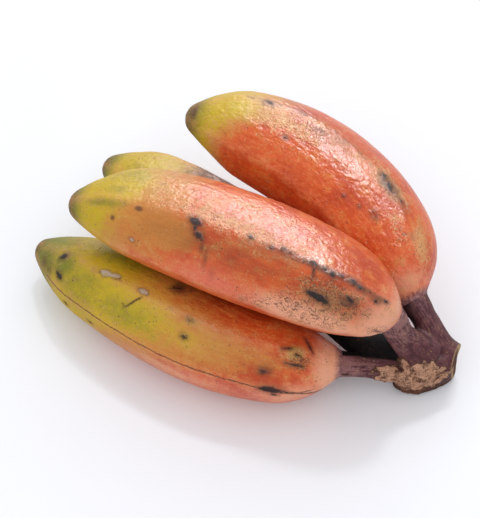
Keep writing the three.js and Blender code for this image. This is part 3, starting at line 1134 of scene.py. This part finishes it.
class BANANA_OT_stem(bpy.types.Operator):
    """Make the crown and its four stalks as one woody piece"""

    bl_idname = "banana_hand.stem"
    bl_label = "Crown and Stalks"

    def execute(self, context):
        look = context.scene.banana_stalk
        bm = bmesh.new()
        crown_block(bm)
        for spec in FINGERS.values():
            sweep_stalk(bm, spec)
        bmesh.ops.recalc_face_normals(bm, faces=bm.faces)
        made = remeshed(to_object("stem_bark", bm), look.grid)
        self.carve(made.data, look)
        settle(made, "stem", stalk_material(look))
        return {"FINISHED"}

    @staticmethod
    def beside_torn(places):
        """Places measured from the middle of the torn place: along it, outwards and upwards."""
        turn = np.array([UP.cross(TORN_FACING), TORN_FACING, UP])
        return (places - np.array(TORN_MIDDLE)) @ turn.T

    def carve(self, mesh, look):
        """Roughens the skin with fibres, tears one side of the crown and cuts its end flat."""
        places = positions(mesh)
        normals = np.array([v.normal for v in mesh.vertices])
        grain, owner, facing = grain_of(places)
        torn = 1 - np.linalg.norm(self.beside_torn(places) / np.array(TORN_REACH), axis=1)
        torn = ease(torn + 0.4 * rough(places, 4.5 * MM, 3, octaves=2), -0.1, 0.25)
        fibres = rough(grain * np.array([1, 1, 0.1]), 1.3 * MM, 1, octaves=2) * look.fibres
        lumps = rough(places, 6 * MM, 2) * 0.5 * MM * ease(places[:, 0], 0.062, 0.074)
        shreds = rough(places * np.array([0.6, 0.6, 1.2]), 2.6 * MM, 7, octaves=3) - 0.05
        places = places + normals * (fibres + lumps + shreds * look.tears * torn)[:, None]
        beyond = (places - np.array(CUT_POINT)) @ np.array(CUT_FACING)
        places -= np.array(CUT_FACING) * np.clip(beyond, 0, None)[:, None]
        places[:, 2] = np.maximum(places[:, 2], GROUND)
        mesh.vertices.foreach_set("co", places.astype(np.float32).ravel())
        mesh.update()
        for polygon in mesh.polygons:
            polygon.use_smooth = True
        self.mark_bark(mesh, places, grain, owner, facing)
        self.mark_crown(mesh, places, torn, beyond)

    @staticmethod
    def mark_bark(mesh, places, grain, owner, facing):
        """Stores the grain, how young the bark is, with the right stalk's share cut to paint shade
        on it, and where painted shade lies on the stalks.
        """
        lengths = np.array([spec["length"] for spec in FINGERS.values()])
        grown = grain[:, 2] - owner * GRAIN_SHIFT - lengths[owner.astype(int)]
        shaded = owner == NUMBERS["banana_right"]
        store(mesh, "grain", grain)
        # The right stalk's paleness is cut to 0.3, which paints shade on it.
        store(mesh, "young", (1 - ease(grown, 2 * MM, 24 * MM)) * np.where(shaded, 0.3, 1.0))
        # Painted shade: all of the back stalk and one side each of the front and right stalks.
        sap = np.where(owner == NUMBERS["banana_back"], 1.0, 0.0)
        sap += np.where(owner == NUMBERS["banana_front"], ease(facing, 0.45, 0.8), 0.0)
        sap *= 1 - ease(places[:, 0], *SHADE_END)
        store(mesh, "sap", sap + np.where(shaded, ease(facing, -0.1, 0.8) * 0.62, 0.0))

    @staticmethod
    def mark_crown(mesh, places, torn, beyond):
        """Stores the torn place, the dark border round it, the painted shade at the crown's foot,
        the cut and its rim.
        """
        cut = ease(beyond, -0.25 * MM, 0.05 * MM)
        rim = ease(beyond, -0.45 * MM, -0.1 * MM) * (1 - ease(beyond, 0.1 * MM, 0.5 * MM))
        border = ease(torn, 0.02, 0.2) * (1 - ease(torn, 0.3, 0.6))
        # Painted shade low on the crown, near the table.
        damp = (1 - ease(places[:, 2], *FOOT_SHADE_HEIGHTS)) * ease(places[:, 0], *FOOT_SHADE_START)
        store(mesh, "torn", torn * (1 - cut))
        store(mesh, "torn_border", border * ease(places[:, 2], 0.004, 0.014))
        store(mesh, "damp", damp * (1 - cut))
        store(mesh, "cut", cut)
        store(mesh, "cut_rim", np.maximum(rim, cut * ease(places[:, 1], *CUT_PALE)))


def area_light(name, size, power, place, target):
    """A white panel of light, turned towards a target."""
    panel = bpy.data.lights.new(name, "AREA")
    panel.shape = "RECTANGLE"
    panel.size, panel.size_y = size
    panel.energy = power
    made = bpy.data.objects.new(name, panel)
    made.location = place
    made.rotation_euler = (target - Vector(place)).to_track_quat("-Z", "Y").to_euler()
    bpy.context.scene.collection.objects.link(made)
    return made


class BANANA_OT_stage(bpy.types.Operator):
    """Make the table, the soft lights and the camera"""

    bl_idname = "banana_hand.stage"
    bl_label = "Table, Lights and Camera"

    def execute(self, context):
        look = context.scene.banana_stage
        scene = context.scene
        scene.view_settings.view_transform = "Standard"
        middle = (CAD_BOX[0] + CAD_BOX[1]) / 2
        self.table(look)
        self.room(scene, look)
        self.lights(look, middle)
        self.camera(scene, look, middle)
        return {"FINISHED"}

    def table(self, look):
        bm = bmesh.new()
        bmesh.ops.create_grid(bm, x_segments=1, y_segments=1, size=look.table_size)
        bmesh.ops.translate(bm, verts=bm.verts, vec=(0, 0, GROUND))
        made = to_object("table", bm, smooth=False)
        made.data.materials.append(table_material(look))

    def room(self, scene, look):
        """Even light all round, brighter towards the ceiling."""
        world = bpy.data.worlds.new("room")
        world.use_nodes = True
        background = world.node_tree.nodes["Background"]
        background.inputs["Color"].default_value = (0.97, 0.98, 1.0, 1)
        nodes, links = world.node_tree.nodes, world.node_tree.links
        height = nodes.new("ShaderNodeSeparateXYZ")
        links.new(nodes.new("ShaderNodeTexCoord").outputs["Generated"], height.inputs[0])
        brighter = nodes.new("ShaderNodeMapRange")
        links.new(height.outputs["Z"], brighter.inputs["Value"])
        brighter.inputs["To Min"].default_value = look.room
        brighter.inputs["To Max"].default_value = look.room + look.ceiling
        links.new(brighter.outputs[0], background.inputs["Strength"])
        scene.world = world

    def lights(self, look, middle):
        """A window, a lamp and a fill, and two panels that only show as gloss on the hand."""
        turn = look.azimuth
        right = Vector((math.cos(turn), math.sin(turn), 0))
        away = Vector((-math.sin(turn), math.cos(turn), 0))
        made = {}
        for name, (size, (sideways, back, up)) in LIGHTS.items():
            place = middle + right * sideways + away * back + UP * up
            made[name] = area_light(name, size, getattr(look, name), place, middle)
        for name in ("lamp", "fill"):
            made[name].visible_glossy = False
        hand = bpy.data.collections.new("shown_as_gloss")
        for piece in bpy.context.scene.objects:
            if piece.name.endswith(("_peel", "_bark")):
                hand.objects.link(piece)
        for name in ("sheen", "overhead"):
            made[name].visible_diffuse = False
            made[name].visible_camera = False
            made[name].light_linking.receiver_collection = hand

    def camera(self, scene, look, middle):
        """The viewer's camera, turned towards the aim."""
        turn, level = look.azimuth, math.cos(look.elevation)
        back = Vector((math.sin(turn) * level, -math.cos(turn) * level, math.sin(look.elevation)))
        lens = bpy.data.cameras.new("camera")
        lens.lens = look.lens
        lens.sensor_width = SENSOR_WIDTH
        lens.clip_start, lens.clip_end = 0.05, 20
        made = bpy.data.objects.new("camera", lens)
        made.location = middle + CAMERA_AIM + back * look.distance
        made.rotation_euler = (-back).to_track_quat("-Z", "Y").to_euler()
        scene.collection.objects.link(made)
        scene.camera = made


class BANANA_PT_panel(bpy.types.Panel):
    """Buttons that make the hand's pieces"""

    bl_idname = "BANANA_PT_panel"
    bl_label = "Red Banana Hand"
    bl_space_type = "VIEW_3D"
    bl_region_type = "UI"
    bl_category = "Banana Hand"

    def draw(self, context):
        for step in STEPS:
            self.layout.operator(step.bl_idname)
        for name in SETTINGS:
            group = getattr(context.scene, name)
            box = self.layout.box()
            for key in group.__annotations__:
                box.prop(group, key)


SETTINGS = {
    "banana_peel": PeelSettings,
    "banana_stalk": StalkSettings,
    "banana_stage": StageSettings,
}
STEPS = (BANANA_OT_fruits, BANANA_OT_stem, BANANA_OT_stage)
CLASSES = (*SETTINGS.values(), *STEPS, BANANA_PT_panel)


def register():
    for cls in CLASSES:
        bpy.utils.register_class(cls)
    for name, cls in SETTINGS.items():
        setattr(bpy.types.Scene, name, PointerProperty(type=cls))


def unregister():
    for name in SETTINGS:
        delattr(bpy.types.Scene, name)
    for cls in reversed(CLASSES):
        bpy.utils.unregister_class(cls)


def main():
    register()
    bpy.ops.banana_hand.fruits()
    bpy.ops.banana_hand.stem()
    bpy.ops.banana_hand.stage()


if __name__ == "__main__":
    main()
